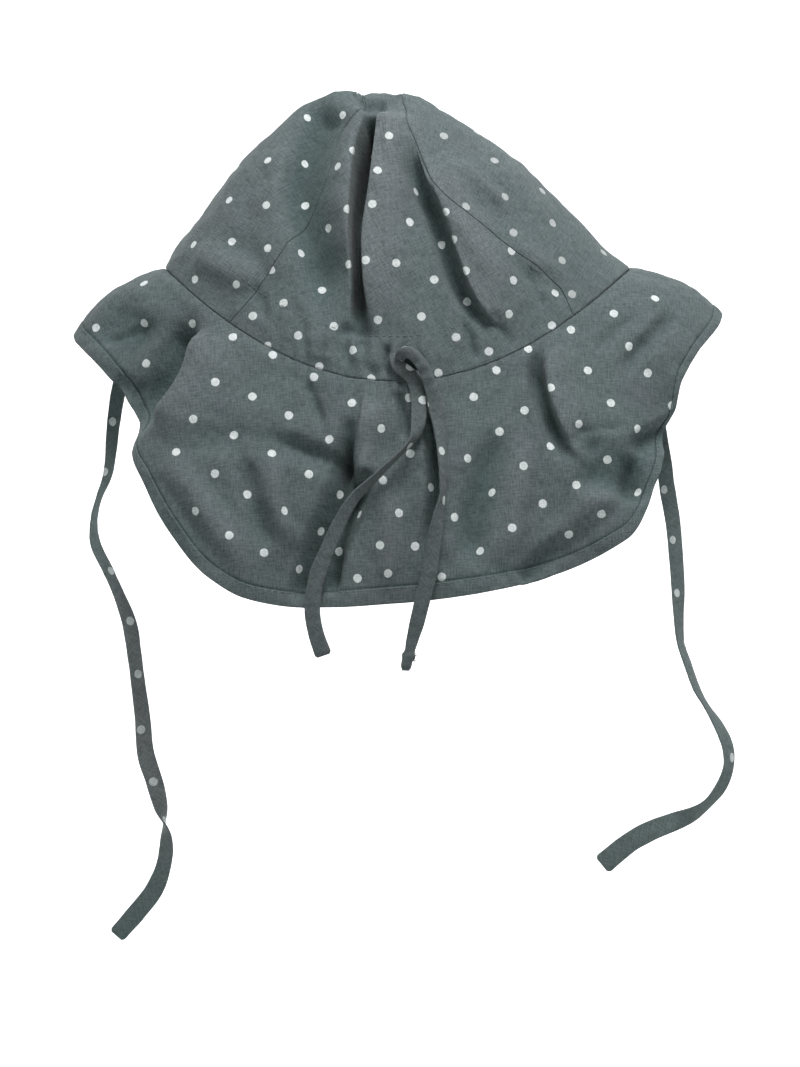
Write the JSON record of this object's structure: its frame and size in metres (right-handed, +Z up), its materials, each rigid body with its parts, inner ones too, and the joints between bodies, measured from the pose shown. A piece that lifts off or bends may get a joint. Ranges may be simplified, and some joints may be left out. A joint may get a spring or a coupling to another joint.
{
  "type": "sun hat",
  "caption": "Child's dotted linen sun hat with a panelled crown, a flared brim that falls at the back as a neck flap, chin ties and a drawstring.",
  "frame": {"origin": "inside the top of the crown, where the hat rests on what holds it up", "axes": "+Z is up, the back of the hat with its neck flap faces -Y, and +X is the right side of the back view"},
  "size_m": [0.2953, 0.1718, 0.3786],
  "materials": {
    "linen": "plain-weave linen, green-grey, with off-white printed dots",
    "tie_linen": "the same linen folded and sewn into narrow flat ties"
  },
  "bodies": {
    "root": {"crown_centre": "linen", "crown_left": "linen", "crown_right": "linen", "brim": "linen", "chin_tie_left": "tie_linen", "chin_tie_right": "tie_linen", "drawstring_knot": "tie_linen", "drawstring_left": "tie_linen", "drawstring_right": "tie_linen"}
  },
  "joints": []
}
